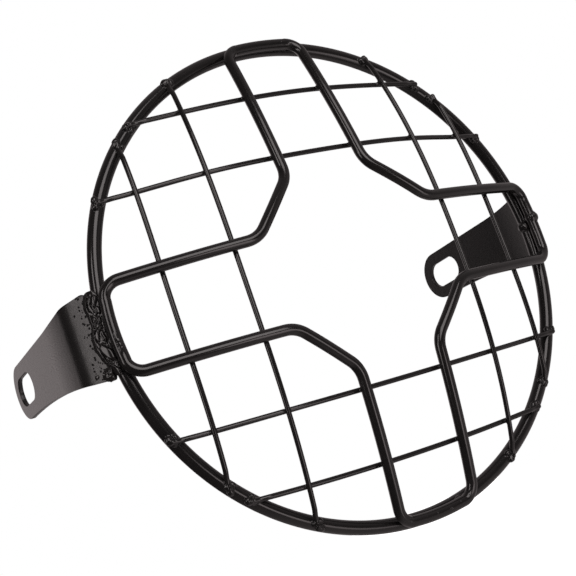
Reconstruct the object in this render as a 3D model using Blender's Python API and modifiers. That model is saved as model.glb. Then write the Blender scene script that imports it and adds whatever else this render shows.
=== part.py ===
"""Round wire guard for a motorcycle headlight, welded from steel bar, wire and sheet.

The guard stands as it is fitted: +Z is up, the ring lies in the XZ plane around the
origin, the dome swells towards -Y (forwards) and the two brackets run back along +Y to
the headlight's side bolts.  All sizes are in metres.
"""

import math

import bmesh
import bpy
import numpy as np
from mathutils import Matrix, Vector

# Clearance left between solids that touch or are welded together
GAP = 0.0003

# Outer ring: one round bar bent to a circle
RING_RADIUS = 0.100          # centre line
RING_BAR = 0.0055            # bar diameter
RING_JOINT_HEIGHT = -0.0012  # height of its butt weld, on the right-hand side
RING_STEPS = 84
RING_SIDES = 12

# Cross loop: one round bar bent to the outline of a cross with cut corners
LOOP_BAR = 0.0044
ARM_HALF_WIDTH = 0.0178      # centre line of an arm's bars from the arm's middle
CROSS_REACH = 0.397          # where the cut corners meet the arms, as a share of the ring's radius
CROSS_BEND = 0.011           # centre-line radius of the bends at the cut corners
ARM_END_BEND = 0.0065        # centre-line radius of the bends on the ring
LEVEL_ARM_RISE = 0.0186      # how far the left and right arms swell forwards
UPRIGHT_ARM_RISE = 0.0155    # the same for the top and bottom arms
LOOP_DROP = 0.0005           # the cross is welded on slightly below the ring's centre
LOOP_JOINT_HEIGHT = 0.0014   # height of the loop's butt weld on its right-hand end bar
# The hand-bent bars stand off their even places, outwards from their arm's middle.  One row
# for each quarter, clockwise from the top right: its first arm's bar at the ring and at the
# cross, then its second arm's bar at the cross and at the ring.
LOOP_OFFSETS = ((-0.0002, 0.0006, 0.0004, -0.0013),
                (-0.0006, -0.0004, 0.0020, 0.0001),
                (-0.0005, 0.0003, 0.0008, -0.0016),
                (0.0002, -0.0005, 0.0006, -0.0013))
LOOP_SIDES = 10

# Lattice: thin wires, each bowed in its own plane and welded to the front of the ring.
# A wire's place is its distance from the middle at half length and at its ends, as
# shares of the ring's radius.
WIRE = 0.0020
INNER_UPRIGHT = (0.492, 0.470)
OUTER_UPRIGHT = (0.769, 0.756)
INNER_LEVEL = (0.480, 0.461)
OUTER_LEVEL = (0.764, 0.743)
INNER_UPRIGHT_FULLNESS = 2.6  # power of the bow: 2 is a parabola, more is fuller
OUTER_UPRIGHT_FULLNESS = 3.3
WIRE_OVERHANG = 0.0022       # wire beyond the ring's centre line
LATTICE_TURN = -1.6          # degrees about Y: the wires sit slightly turned in the ring
RIGHT_OUTER_TURN = -0.9      # the outer upright wire on the right leans less
WIRE_STEPS = 22
WIRE_SIDES = 8

# Side brackets: one folded and tapered sheet blank on each side
PLATE = 0.0020
FLANGE_ANGLE = 39.0          # degrees that the welded flange leans out from straight back
FLANGE_LENGTH = 0.0083
FOLD_RADIUS = 0.0080         # centre line of the plate
EASE_ANGLE = 6.0             # degrees left after the fold, eased out along the tab
TOE_IN = 1.0                 # degrees that the tabs lean towards each other
EASE_LENGTH = 0.020
FLANGE_SETBACK = 0.0012      # the plate's front edge behind the ring's plane
FLANGE_TOP = 0.0179
FLANGE_BOTTOM = -0.0158
FLANGE_TOP_CORNER = 0.0012   # radii of the flange's two corners
FLANGE_BOTTOM_CORNER = 0.0020
TAB_MIDDLE = 0.0030          # height of the tab's middle above the ring's middle
TAB_WIDTH = 0.0228           # its end is a half circle
SLOT_SETBACK = 0.0782        # middle of the bolt slot behind the ring's plane
SLOT_LENGTH = 0.0226
SLOT_WIDTH = 0.0117
TOP_FLARE_LENGTH = 0.038     # length over which the upper edge widens to the flange
PLATE_EDGE = 0.0004          # rounding of the sheared edges

# Weld metal
BEAD_WIDTH = 0.0096          # bracket welds, measured along the flange
BEAD_THICKNESS = 0.0042
BEAD_LEAD = 0.0005           # their middle in front of the flange's front edge
BEAD_LUMP = 0.11             # share by which they swell and shrink
BEAD_END_MARGIN = 0.0012     # they stop this much short of the flange's corners
BEAD_STEPS = 40
BEAD_SIDES = 18
WIRE_WELD = (0.0024, 0.0020, 0.0023)   # half sizes along the ring, outwards and forwards
WIRE_WELD_OUT = 0.0009       # its middle outside the ring's centre line
TACK_WELD = (0.0022, 0.0018, 0.0018)   # the same for the tacks inside the loop's bends
TACK_INWARDS = 0.0022        # their middle inside the ring's centre line
TACK_FORWARDS = 0.0034
TACK_SPREAD = 0.0125         # their distance from the arm's middle
BUTT_WELD = 0.0009           # height of the bead round a butt joint
BUTT_LENGTH = 0.0020         # half length of that bead along the bar
RING_BUTT_INWARDS = 0.0018   # the ring's bead is thickest on its inner side, a little to the back
RING_BUTT_BACK = 0.0002
LOOP_BUTT_FORWARDS = 0.0016  # the loop's bead is thickest on its front

COAT = (0.0116, 0.0103, 0.0103)        # linear colour of the gloss black powder coat


def ring_seat(diameter):
    """Distance of a bar's centre line in front of the ring's plane where it lies on the ring."""
    return (RING_BAR + diameter) / 2 + GAP


def new_collection(name):
    """Add an empty collection to the scene."""
    group = bpy.data.collections.new(name)
    bpy.context.scene.collection.children.link(group)
    return group


def coat_material(name, roughness):
    """Gloss black powder coat for one piece."""
    material = bpy.data.materials.new(name)
    material.use_nodes = True
    shader = material.node_tree.nodes["Principled BSDF"]
    shader.inputs["Base Color"].default_value = (*COAT, 1.0)
    shader.inputs["Roughness"].default_value = roughness
    shader.inputs["Metallic"].default_value = 0.0
    material.diffuse_color = (*COAT, 1.0)
    return material


def finish(obj, group, roughness=0.25):
    """Put a piece in its collection with a material of its own."""
    for old in list(obj.users_collection):
        old.objects.unlink(obj)
    group.objects.link(obj)
    obj.data.materials.clear()
    obj.data.materials.append(coat_material(obj.name + "_coat", roughness))
    return obj


def hide_cutter(obj, group):
    """Keep a cutter out of the picture and out of the model."""
    for old in list(obj.users_collection):
        old.objects.unlink(obj)
    group.objects.link(obj)
    obj.hide_render = True
    obj.display_type = "WIRE"
    return obj


def cut(obj, cutter, operation="DIFFERENCE"):
    """Cut one mesh object by another with a Boolean modifier."""
    boolean = obj.modifiers.new(operation.lower() + "_" + cutter.name, "BOOLEAN")
    boolean.operation = operation
    boolean.object = cutter


def turn_about_y(points, degrees):
    """Turn points about the Y axis, positive lifting the right-hand side."""
    angle = math.radians(degrees)
    x, y, z = points.T
    return np.column_stack((x * math.cos(angle) - z * math.sin(angle), y,
                            x * math.sin(angle) + z * math.cos(angle)))


def bar_curve(name, points, diameter, sides, closed=False):
    """Round bar along a row of points, as a curve with a bevel and filled ends."""
    curve = bpy.data.curves.new(name, "CURVE")
    curve.dimensions = "3D"
    curve.bevel_depth = diameter / 2
    curve.bevel_resolution = (sides - 4) // 2
    curve.use_fill_caps = not closed
    spline = curve.splines.new("POLY")
    spline.points.add(len(points) - 1)
    spline.points.foreach_set("co", np.column_stack((points, np.ones(len(points)))).ravel())
    spline.use_cyclic_u = closed
    spline.use_smooth = True
    obj = bpy.data.objects.new(name, curve)
    bpy.context.scene.collection.objects.link(obj)
    return obj


def as_mesh(obj):
    """Replace a curve object by a welded mesh object in the same place."""
    name = obj.name
    depsgraph = bpy.context.evaluated_depsgraph_get()
    mesh = bpy.data.meshes.new_from_object(obj.evaluated_get(depsgraph))
    placed = obj.matrix_world.copy()
    curve = obj.data
    bpy.data.objects.remove(obj)
    bpy.data.curves.remove(curve)
    shape = bmesh.new()
    shape.from_mesh(mesh)
    bmesh.ops.remove_doubles(shape, verts=shape.verts, dist=0.000001)
    bmesh.ops.recalc_face_normals(shape, faces=shape.faces)
    shape.to_mesh(mesh)
    shape.free()
    result = bpy.data.objects.new(name, mesh)
    result.matrix_world = placed
    bpy.context.scene.collection.objects.link(result)
    return result


def ring_torus(name, diameter):
    """Torus round the Y axis on the ring's centre line."""
    bpy.ops.mesh.primitive_torus_add(
        major_segments=RING_STEPS, minor_segments=RING_SIDES,
        major_radius=RING_RADIUS, minor_radius=diameter / 2,
        rotation=(math.pi / 2, 0.0, 0.0))
    obj = bpy.context.object
    obj.name = name
    obj.data.shade_smooth()
    return obj


# The cross loop

def fillet(corner, before, after, radius, steps):
    """Points of the arc that rounds a corner between two straight runs."""
    to_before = (before - corner) / np.linalg.norm(before - corner)
    to_after = (after - corner) / np.linalg.norm(after - corner)
    half = math.acos(float(np.clip(to_before @ to_after, -1.0, 1.0))) / 2
    middle = (to_before + to_after) / np.linalg.norm(to_before + to_after)
    centre = corner + middle * radius / math.sin(half)
    start = corner + to_before * radius / math.tan(half)
    sweep = math.pi - 2 * half
    side = math.copysign(1.0, to_before[0] * to_after[1] - to_before[1] * to_after[0])
    angles = side * np.linspace(0.0, sweep, steps)
    arm = start - centre
    return centre + np.column_stack((arm[0] * np.cos(angles) + arm[1] * np.sin(angles),
                                     -arm[0] * np.sin(angles) + arm[1] * np.cos(angles)))


def cross_quarter(offsets):
    """Flat outline of one quarter of the cross, from the top end bar to the right one.

    The bars' offsets slide the cut corner's two ends along its own line.
    """
    top_width, upper_width, lower_width, right_width = ARM_HALF_WIDTH + np.array(offsets)
    corner = ARM_HALF_WIDTH + CROSS_REACH * RING_RADIUS
    top = np.array((top_width, math.sqrt(RING_RADIUS ** 2 - top_width ** 2)))
    upper = np.array((upper_width, corner - upper_width))
    lower = np.array((corner - lower_width, lower_width))
    right = np.array((math.sqrt(RING_RADIUS ** 2 - right_width ** 2), right_width))
    bar_in = top + np.array((-1.0, top_width / RING_RADIUS)) * top_width
    bar_out = right + np.array((right_width / RING_RADIUS, -1.0)) * right_width
    runs = [fillet(top, bar_in, upper, ARM_END_BEND, 6),
            fillet(upper, top, lower, CROSS_BEND, 5),
            fillet(lower, upper, right, CROSS_BEND, 5),
            fillet(right, lower, bar_out, ARM_END_BEND, 6)]
    return runs


def straight(start, end, steps):
    """Points strictly between two ends."""
    return start + (end - start) * np.linspace(0.0, 1.0, steps + 2)[1:-1, None]


def end_bar(start, end, steps):
    """Points of an end bar, which follows the ring's circle between two bends."""
    first, last = np.unwrap((math.atan2(start[1], start[0]), math.atan2(end[1], end[0])))
    angles = np.linspace(first, last, steps + 2)[1:-1]
    return RING_RADIUS * np.column_stack((np.cos(angles), np.sin(angles)))


def loop_rise(x, z):
    """How far the cross loop stands in front of its seat on the ring.

    The swell falls off with the square of the distance along an arm.  That distance is
    the fourth-power mean of x and z, so that it runs smoothly across the cut corners.
    """
    along = (x ** 4 + z ** 4) ** 0.25
    level_share = x ** 2 / (x ** 2 + z ** 2)
    rise = UPRIGHT_ARM_RISE + (LEVEL_ARM_RISE - UPRIGHT_ARM_RISE) * level_share
    return rise * np.maximum(0.0, 1.0 - (along / RING_RADIUS) ** 2)


def loop_points():
    """Closed centre line of the cross loop."""
    quarter_turn = np.array(((0.0, -1.0), (1.0, 0.0)))
    quarters = []
    for turn, offsets in enumerate(LOOP_OFFSETS):
        spin = np.linalg.matrix_power(quarter_turn, turn)
        quarters.append([run @ spin for run in cross_quarter(offsets)])
    flat = []
    for runs, following in zip(quarters, quarters[1:] + quarters[:1]):
        flat += [runs[0], straight(runs[0][-1], runs[1][0], 6), runs[1],
                 straight(runs[1][-1], runs[2][0], 2), runs[2],
                 straight(runs[2][-1], runs[3][0], 6), runs[3],
                 end_bar(runs[3][-1], following[0][0], 3)]
    flat = np.vstack(flat)
    x, z = flat.T
    forwards = ring_seat(LOOP_BAR) + loop_rise(x, z)
    return np.column_stack((x, -forwards, z - LOOP_DROP))


# The lattice

def half_span(place):
    """Half length of a wire between its seats on the ring."""
    return math.sqrt(RING_RADIUS ** 2 - place[1] ** 2)


def loop_contact(x, z):
    """Depth of a wire's centre line where it passes just behind the cross loop."""
    rise = float(loop_rise(x, z + LOOP_DROP))
    return ring_seat(LOOP_BAR) + rise - (LOOP_BAR + WIRE) / 2 - GAP


def upright_depth(place, fullness):
    """Depth of an upright wire along its length: it touches the ring and the level arms."""
    seat = ring_seat(WIRE)
    span = half_span(place)
    contact = loop_contact(place[0], ARM_HALF_WIDTH)
    crown = (contact - seat) / (1.0 - (ARM_HALF_WIDTH / span) ** fullness)

    def depth(along):
        share = np.minimum(1.0, np.abs(along) / span)
        return seat + crown * (1.0 - share ** fullness)

    return depth


def level_depth(place, uprights):
    """Depth of a level wire: it touches the ring, the upright arms and each upright wire.

    An even polynomial goes through those contacts, one power for each of them.
    """
    seat = ring_seat(WIRE)
    span = half_span(place)
    stations = [span, ARM_HALF_WIDTH]
    depths = [seat, loop_contact(ARM_HALF_WIDTH, place[0])]
    for upright, depth in uprights:
        if half_span(upright) > place[0] and upright[0] < span - 2 * WIRE:
            stations.append(upright[0])
            depths.append(float(depth(place[0])) - WIRE - GAP)
    stations = np.array(stations) / RING_RADIUS
    powers = 2 * np.arange(len(stations))
    terms = np.linalg.solve(stations[:, None] ** powers, np.array(depths))

    def depth(along):
        share = np.minimum(span, np.abs(along)) / RING_RADIUS
        return (share[..., None] ** powers) @ terms

    return depth


def wire_points(place, side, turn, upright, depth, extra=0.0):
    """Centre line of one lattice wire, with its ends just past the ring's centre line."""
    reach = half_span(place) + WIRE_OVERHANG + extra
    along = reach * np.sin(np.linspace(-math.pi / 2, math.pi / 2, WIRE_STEPS + 1))
    across = side * (place[0] - (place[0] - place[1]) * (along / half_span(place)) ** 2)
    forwards = -depth(along)
    if upright:
        points = np.column_stack((across, forwards, along))
    else:
        points = np.column_stack((along, forwards, across))
    return turn_about_y(points, turn)


def lattice_layout():
    """Name, place, side, turn, direction and depth of each of the lattice's wires."""
    inner, outer, inner_level, outer_level = [
        tuple(share * RING_RADIUS for share in shares)
        for shares in (INNER_UPRIGHT, OUTER_UPRIGHT, INNER_LEVEL, OUTER_LEVEL)]
    inner_depth = upright_depth(inner, INNER_UPRIGHT_FULLNESS)
    outer_depth = upright_depth(outer, OUTER_UPRIGHT_FULLNESS)
    uprights = [(inner, inner_depth), (outer, outer_depth)]
    inner_level_depth = level_depth(inner_level, uprights)
    outer_level_depth = level_depth(outer_level, uprights)
    turn = LATTICE_TURN
    return [("upright_wire_left_outer", outer, -1, turn, True, outer_depth),
            ("upright_wire_left_inner", inner, -1, turn, True, inner_depth),
            ("upright_wire_right_inner", inner, 1, turn, True, inner_depth),
            ("upright_wire_right_outer", outer, 1, RIGHT_OUTER_TURN, True, outer_depth),
            ("level_wire_top_outer", outer_level, 1, turn, False, outer_level_depth),
            ("level_wire_top_inner", inner_level, 1, turn, False, inner_level_depth),
            ("level_wire_bottom_inner", inner_level, -1, turn, False, inner_level_depth),
            ("level_wire_bottom_outer", outer_level, -1, turn, False, outer_level_depth)]


# The brackets

def flange_start():
    """Plan position of the middle of the plate's front edge, just clear of the ring's bar."""
    lean = math.radians(FLANGE_ANGLE)
    inner_y = FLANGE_SETBACK + PLATE / 2 * math.sin(lean)
    reach = RING_BAR / 2 + GAP
    inner_x = math.sqrt(max(0.0, reach ** 2 - inner_y ** 2))
    return RING_RADIUS + inner_x + GAP / 2 + PLATE / 2 * math.cos(lean), FLANGE_SETBACK


def plate_plan():
    """Centre line of the folded plate seen from above, for the right-hand side."""
    x, y = flange_start()
    steps = [(FLANGE_LENGTH, FLANGE_ANGLE, FLANGE_ANGLE, 1),
             (FOLD_RADIUS * math.radians(FLANGE_ANGLE - EASE_ANGLE), FLANGE_ANGLE, EASE_ANGLE, 8),
             (EASE_LENGTH, EASE_ANGLE, -TOE_IN, 6)]
    points = [(x, y)]
    for length, first, last, count in steps:
        for index in range(count):
            angle = math.radians(first + (last - first) * (index + 0.5) / count)
            x += length / count * math.sin(angle)
            y += length / count * math.cos(angle)
            points.append((x, y))
    beyond = tab_end() + 2 * PLATE
    points.append((x - (beyond - y) * math.tan(math.radians(TOE_IN)), beyond))
    return points


def tab_end():
    """Distance of the tab's rounded end behind the ring's plane."""
    return SLOT_SETBACK + (SLOT_LENGTH - SLOT_WIDTH) / 2 + TAB_WIDTH / 2


def blank_outline():
    """Side view (Y, Z) of the bracket: a flared root, a straight tab and a half-round end."""
    low = TAB_MIDDLE - TAB_WIDTH / 2
    high = TAB_MIDDLE + TAB_WIDTH / 2
    centre = tab_end() - TAB_WIDTH / 2
    front = FLANGE_SETBACK - PLATE

    def lower_edge(y):
        return low + (FLANGE_BOTTOM - low) * ((centre - y) / centre) ** 2.2

    def upper_edge(y):
        share = np.maximum(0.0, 1.0 - y / TOP_FLARE_LENGTH)
        return high + (FLANGE_TOP - high) * share ** 2

    turn = np.radians(np.linspace(-90.0, 90.0, 15))
    round_end = np.column_stack((centre + TAB_WIDTH / 2 * np.cos(turn),
                                 TAB_MIDDLE + TAB_WIDTH / 2 * np.sin(turn)))
    upper_y = TOP_FLARE_LENGTH * np.array((1.0, 0.75, 0.5, 0.25))
    corner = np.radians(np.array((0.0, 30.0, 60.0, 90.0)))
    top_y = FLANGE_SETBACK + FLANGE_TOP_CORNER * (1.0 - np.sin(corner))
    top_z = upper_edge(FLANGE_SETBACK) - FLANGE_TOP_CORNER * (1.0 - np.cos(corner))
    bottom_y = FLANGE_SETBACK + FLANGE_BOTTOM_CORNER * (1.0 - np.sin(corner[::-1]))
    bottom_z = lower_edge(FLANGE_SETBACK) + FLANGE_BOTTOM_CORNER * (1.0 - np.cos(corner[::-1]))
    lower_y = np.linspace(FLANGE_SETBACK + FLANGE_BOTTOM_CORNER, centre, 9)[1:-1]
    return np.vstack((
        round_end,
        np.column_stack((upper_y, upper_edge(upper_y))),
        np.column_stack((top_y, top_z)),
        ((front, top_z[-1]), (front, bottom_z[0])),
        np.column_stack((bottom_y, bottom_z)),
        np.column_stack((lower_y, lower_edge(lower_y)))))


def slot_outline(grow=0.0):
    """Side view of the obround bolt slot."""
    radius = SLOT_WIDTH / 2 + grow
    half = (SLOT_LENGTH - SLOT_WIDTH) / 2
    turn = np.radians(np.linspace(-90.0, 90.0, 11))
    back = np.column_stack((SLOT_SETBACK + half + radius * np.cos(turn),
                            TAB_MIDDLE + radius * np.sin(turn)))
    front = np.column_stack((SLOT_SETBACK - half - radius * np.cos(turn),
                             TAB_MIDDLE - radius * np.sin(turn)))
    return np.vstack((back, front))


def side_prism(name, outline, side):
    """Flat outline in the side view, extruded across one bracket."""
    curve = bpy.data.curves.new(name, "CURVE")
    curve.dimensions = "2D"
    curve.fill_mode = "BOTH"
    curve.extrude = RING_RADIUS / 4
    spline = curve.splines.new("POLY")
    spline.points.add(len(outline) - 1)
    flat = np.column_stack((outline, np.zeros(len(outline)), np.ones(len(outline))))
    spline.points.foreach_set("co", flat.ravel())
    spline.use_cyclic_u = True
    obj = bpy.data.objects.new(name, curve)
    stand = Matrix(((0.0, 0.0, 1.0, side * RING_RADIUS * 1.1), (1.0, 0.0, 0.0, 0.0),
                    (0.0, 1.0, 0.0, 0.0), (0.0, 0.0, 0.0, 1.0)))
    obj.matrix_world = stand
    bpy.context.scene.collection.objects.link(obj)
    bpy.context.view_layer.update()
    return as_mesh(obj)


def plate_strip(name, side, outside, inside, lead=0.0):
    """Folded strip of sheet, taller than the bracket, before its outline is cut.

    It reaches the given distances outside and inside of the plate's middle, and its front
    edge is moved forwards by the lead.
    """
    plan = plate_plan()
    lean = math.radians(FLANGE_ANGLE)
    plan[0] = (plan[0][0] - lead * math.sin(lean), plan[0][1] - lead * math.cos(lean))
    shape = bmesh.new()
    heights = (FLANGE_BOTTOM - 2 * PLATE, FLANGE_TOP + 2 * PLATE)
    rows = [[shape.verts.new((side * x, y, z)) for z in heights] for x, y in plan]
    for first, second in zip(rows, rows[1:]):
        corners = (first[0], first[1], second[1], second[0])
        shape.faces.new(corners[::-1] if side > 0 else corners)
    mesh = bpy.data.meshes.new(name)
    shape.to_mesh(mesh)
    shape.free()
    mesh.shade_smooth()
    obj = bpy.data.objects.new(name, mesh)
    bpy.context.scene.collection.objects.link(obj)
    solidify = obj.modifiers.new("thickness", "SOLIDIFY")
    solidify.thickness = outside + inside
    solidify.offset = (outside - inside) / (outside + inside)
    solidify.use_even_offset = True
    return obj


def build_bracket(side_name, side, parts, cutters):
    """One side bracket: folded strip, blank outline, bolt slot and rounded edges."""
    bracket = plate_strip(side_name + "_bracket", side, PLATE / 2, PLATE / 2)
    blank = hide_cutter(side_prism(side_name + "_blank", blank_outline(), side), cutters)
    slot = hide_cutter(side_prism(side_name + "_slot", slot_outline(), side), cutters)
    cut(bracket, blank, "INTERSECT")
    cut(bracket, slot)
    bevel = bracket.modifiers.new("edges", "BEVEL")
    bevel.width = PLATE_EDGE
    bevel.segments = 1
    bevel.limit_method = "ANGLE"
    bevel.angle_limit = math.radians(50.0)
    return finish(bracket, parts, 0.22)


# Weld metal

def bead_ball(name, half_sizes, matrix):
    """Small rounded bead, before it is cut to fit the bars it lies on."""
    shape = bmesh.new()
    bmesh.ops.create_icosphere(shape, subdivisions=2, radius=1.0)
    bmesh.ops.transform(shape, matrix=matrix @ Matrix.Diagonal((*half_sizes, 1.0)),
                        verts=shape.verts)
    mesh = bpy.data.meshes.new(name)
    shape.to_mesh(mesh)
    shape.free()
    mesh.shade_smooth()
    obj = bpy.data.objects.new(name, mesh)
    bpy.context.scene.collection.objects.link(obj)
    return obj


def ring_place(angle, outwards, forwards):
    """Matrix at a place on the ring: X along the bar, Y outwards, Z forwards."""
    out = Vector((math.cos(angle), 0.0, math.sin(angle)))
    along = Vector((math.sin(angle), 0.0, -math.cos(angle)))
    front = Vector((0.0, -1.0, 0.0))
    spot = out * (RING_RADIUS + outwards) + front * forwards
    return Matrix((
        (along.x, out.x, front.x, spot.x),
        (along.y, out.y, front.y, spot.y),
        (along.z, out.z, front.z, spot.z),
        (0.0, 0.0, 0.0, 1.0)))


def build_wire_welds(layout, ring_cutter, parts, cutters):
    """A bead over each end of each wire, cut clear of the wire and of the ring."""
    ends = {True: ("bottom", "top"), False: ("left", "right")}
    for name, place, side, turn, upright, depth in layout:
        long_points = wire_points(place, side, turn, upright, depth, GAP)
        wide = as_mesh(bar_curve(name + "_clearance", long_points, WIRE + 2 * GAP, WIRE_SIDES))
        hide_cutter(wide, cutters)
        points = wire_points(place, side, turn, upright, depth)
        for tip, end in ((points[0], ends[upright][0]), (points[-1], ends[upright][1])):
            angle = math.atan2(tip[2], tip[0])
            spot = ring_place(angle, WIRE_WELD_OUT, ring_seat(WIRE))
            bead = bead_ball("weld_" + name + "_" + end, WIRE_WELD, spot)
            cut(bead, ring_cutter)
            cut(bead, wide)
            finish(bead, parts, 0.3)


def build_loop_tacks(ring_cutter, loop_cutter, parts):
    """A small weld inside each bend of the loop's top and bottom arms, on the ring."""
    swing = TACK_SPREAD / RING_RADIUS
    for arm, middle in (("top", math.pi / 2), ("bottom", -math.pi / 2)):
        for side_name, side in (("left", -1), ("right", 1)):
            angle = middle - side * swing * math.sin(middle)
            spot = ring_place(angle, -TACK_INWARDS, TACK_FORWARDS)
            bead = bead_ball("weld_loop_" + arm + "_" + side_name, TACK_WELD, spot)
            cut(bead, ring_cutter)
            cut(bead, loop_cutter)
            finish(bead, parts, 0.3)


def bead_rings(side):
    """Sections of a bracket weld: flat ellipses along the flange, swelling and shrinking."""
    low = math.asin((FLANGE_BOTTOM + BEAD_END_MARGIN) / RING_RADIUS)
    high = math.asin((FLANGE_TOP - BEAD_END_MARGIN) / RING_RADIUS)
    lean = math.radians(FLANGE_ANGLE)
    along = np.array((math.sin(lean), math.cos(lean)))
    outwards = np.array((math.cos(lean), -math.sin(lean)))
    middle = np.array(flange_start()) + outwards * PLATE / 2 - along * BEAD_LEAD
    share = np.linspace(-1.0, 1.0, BEAD_STEPS)[:, None]
    angle = low + (high - low) * (share + 1.0) / 2
    turn = np.linspace(0.0, 2 * math.pi, BEAD_SIDES, endpoint=False)[None, :]
    taper = (1.0 - 0.75 * np.abs(share) ** 7) * np.ones_like(turn)
    lumps = (1.0 + BEAD_LUMP * np.sin(62.0 * angle + 0.7 + 2.0 * np.sin(turn))
             + 0.5 * BEAD_LUMP * np.sin(143.0 * angle + 3.0 * turn))
    length = BEAD_WIDTH / 2 * np.cos(turn) * taper * lumps
    height = BEAD_THICKNESS / 2 * np.sin(turn) * taper * lumps
    plan_x = middle[0] + length * along[0] + height * outwards[0]
    plan_y = middle[1] + length * along[1] + height * outwards[1]
    return np.stack((side * plan_x * np.cos(angle), plan_y, plan_x * np.sin(angle)), axis=-1)


def build_bracket_weld(side_name, side, ring_cutter, loop_cutter, parts, cutters):
    """Lumpy bead that joins a bracket's flange to the ring's outer side."""
    name = "weld_" + side_name + "_bracket"
    shape = bmesh.new()
    rings = [[shape.verts.new(spot) for spot in row] for row in bead_rings(side)]
    for first, second in zip(rings, rings[1:]):
        for index in range(BEAD_SIDES):
            after = (index + 1) % BEAD_SIDES
            shape.faces.new((first[index], first[after], second[after], second[index]))
    shape.faces.new(rings[0])
    shape.faces.new(rings[-1])
    bmesh.ops.recalc_face_normals(shape, faces=shape.faces)
    mesh = bpy.data.meshes.new(name)
    shape.to_mesh(mesh)
    shape.free()
    mesh.shade_smooth()
    bead = bpy.data.objects.new(name, mesh)
    bpy.context.scene.collection.objects.link(bead)
    clearance = (PLATE / 2 + GAP, 2 * BEAD_THICKNESS)
    plate = plate_strip(side_name + "_plate_clearance", side, *clearance, GAP)
    hide_cutter(plate, cutters)
    cut(bead, ring_cutter)
    cut(bead, loop_cutter)
    cut(bead, plate)
    finish(bead, parts, 0.3)


def build_butt_welds(ring_cutter, loop_cutter, parts):
    """Beads that run round the ring and the cross loop where their ends meet."""
    for name, height, outwards, forwards, bar in (
            ("weld_ring_joint", RING_JOINT_HEIGHT, -RING_BUTT_INWARDS, -RING_BUTT_BACK, RING_BAR),
            ("weld_loop_joint", LOOP_JOINT_HEIGHT, 0.0,
             ring_seat(LOOP_BAR) + LOOP_BUTT_FORWARDS, LOOP_BAR)):
        angle = math.asin(height / RING_RADIUS)
        reach = bar / 2 + BUTT_WELD
        spot = ring_place(angle, outwards, forwards)
        bead = bead_ball(name, (BUTT_LENGTH, reach, reach), spot)
        cut(bead, ring_cutter)
        cut(bead, loop_cutter)
        finish(bead, parts, 0.3)


def build_guard():
    """Model every piece of the guard."""
    for old in list(bpy.data.objects):
        bpy.data.objects.remove(old)
    parts = new_collection("headlight_guard")
    cutters = new_collection("cutters")

    finish(ring_torus("outer_ring", RING_BAR), parts)
    ring_cutter = hide_cutter(ring_torus("ring_clearance", RING_BAR + 2 * GAP), cutters)

    loop = loop_points()
    finish(bar_curve("cross_loop", loop, LOOP_BAR, LOOP_SIDES, closed=True), parts)
    loop_cutter = as_mesh(bar_curve("loop_clearance", loop, LOOP_BAR + 2 * GAP, LOOP_SIDES, closed=True))
    hide_cutter(loop_cutter, cutters)

    layout = lattice_layout()
    for name, place, side, turn, upright, depth in layout:
        points = wire_points(place, side, turn, upright, depth)
        finish(bar_curve(name, points, WIRE, WIRE_SIDES), parts)

    for side_name, side in (("left", -1), ("right", 1)):
        build_bracket(side_name, side, parts, cutters)
        build_bracket_weld(side_name, side, ring_cutter, loop_cutter, parts, cutters)

    build_wire_welds(layout, ring_cutter, parts, cutters)
    build_loop_tacks(ring_cutter, loop_cutter, parts)
    build_butt_welds(ring_cutter, loop_cutter, parts)


build_guard()
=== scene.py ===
"""Looks of the welded headlight guard: fine bars, lumpy welds, gloss black coat and studio."""

import math

import bpy
import numpy as np
from mathutils import Matrix


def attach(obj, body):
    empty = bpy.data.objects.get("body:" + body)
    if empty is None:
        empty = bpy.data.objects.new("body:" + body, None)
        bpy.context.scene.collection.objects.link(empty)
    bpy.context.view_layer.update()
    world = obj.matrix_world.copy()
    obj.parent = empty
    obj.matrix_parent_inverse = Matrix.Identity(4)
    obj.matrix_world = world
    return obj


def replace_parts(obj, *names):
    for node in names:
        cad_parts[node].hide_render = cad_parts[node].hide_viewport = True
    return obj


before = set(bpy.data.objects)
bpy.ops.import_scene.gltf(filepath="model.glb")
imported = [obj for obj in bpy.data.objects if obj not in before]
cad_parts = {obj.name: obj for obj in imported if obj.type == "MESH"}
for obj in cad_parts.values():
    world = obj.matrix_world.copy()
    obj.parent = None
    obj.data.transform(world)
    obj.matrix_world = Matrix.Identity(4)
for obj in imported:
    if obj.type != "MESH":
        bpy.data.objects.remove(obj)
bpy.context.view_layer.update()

# Sizes in metres, the same as those of the solids
RING_RADIUS = 0.100
RING_BAR = 0.0055
LOOP_BAR = 0.0044
ARM_HALF_WIDTH = 0.0178
CROSS_REACH = 0.397
CROSS_BEND = 0.011
ARM_END_BEND = 0.0065
LEVEL_ARM_RISE = 0.0186
UPRIGHT_ARM_RISE = 0.0155
LOOP_DROP = 0.0005
LOOP_OFFSETS = ((-0.0002, 0.0006, 0.0004, -0.0013),
                (-0.0006, -0.0004, 0.0020, 0.0001),
                (-0.0005, 0.0003, 0.0008, -0.0016),
                (0.0002, -0.0005, 0.0006, -0.0013))
WIRE = 0.0020
INNER_UPRIGHT = (0.0492, 0.0470)
OUTER_UPRIGHT = (0.0769, 0.0756)
INNER_LEVEL = (0.0480, 0.0461)
OUTER_LEVEL = (0.0764, 0.0743)
INNER_UPRIGHT_FULLNESS = 2.6
OUTER_UPRIGHT_FULLNESS = 3.3
WIRE_OVERHANG = 0.0022
LATTICE_TURN = -1.6
RIGHT_OUTER_TURN = -0.9
GAP = 0.0003
PLATE = 0.0020
FLANGE_ANGLE = 39.0
FLANGE_LENGTH = 0.0083
FOLD_RADIUS = 0.0080
EASE_ANGLE = 6.0
EASE_LENGTH = 0.020
TOE_IN = 1.0
FLANGE_SETBACK = 0.0012
FLANGE_TOP = 0.0179
FLANGE_BOTTOM = -0.0158
FLANGE_TOP_CORNER = 0.0012
FLANGE_BOTTOM_CORNER = 0.0020
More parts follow.
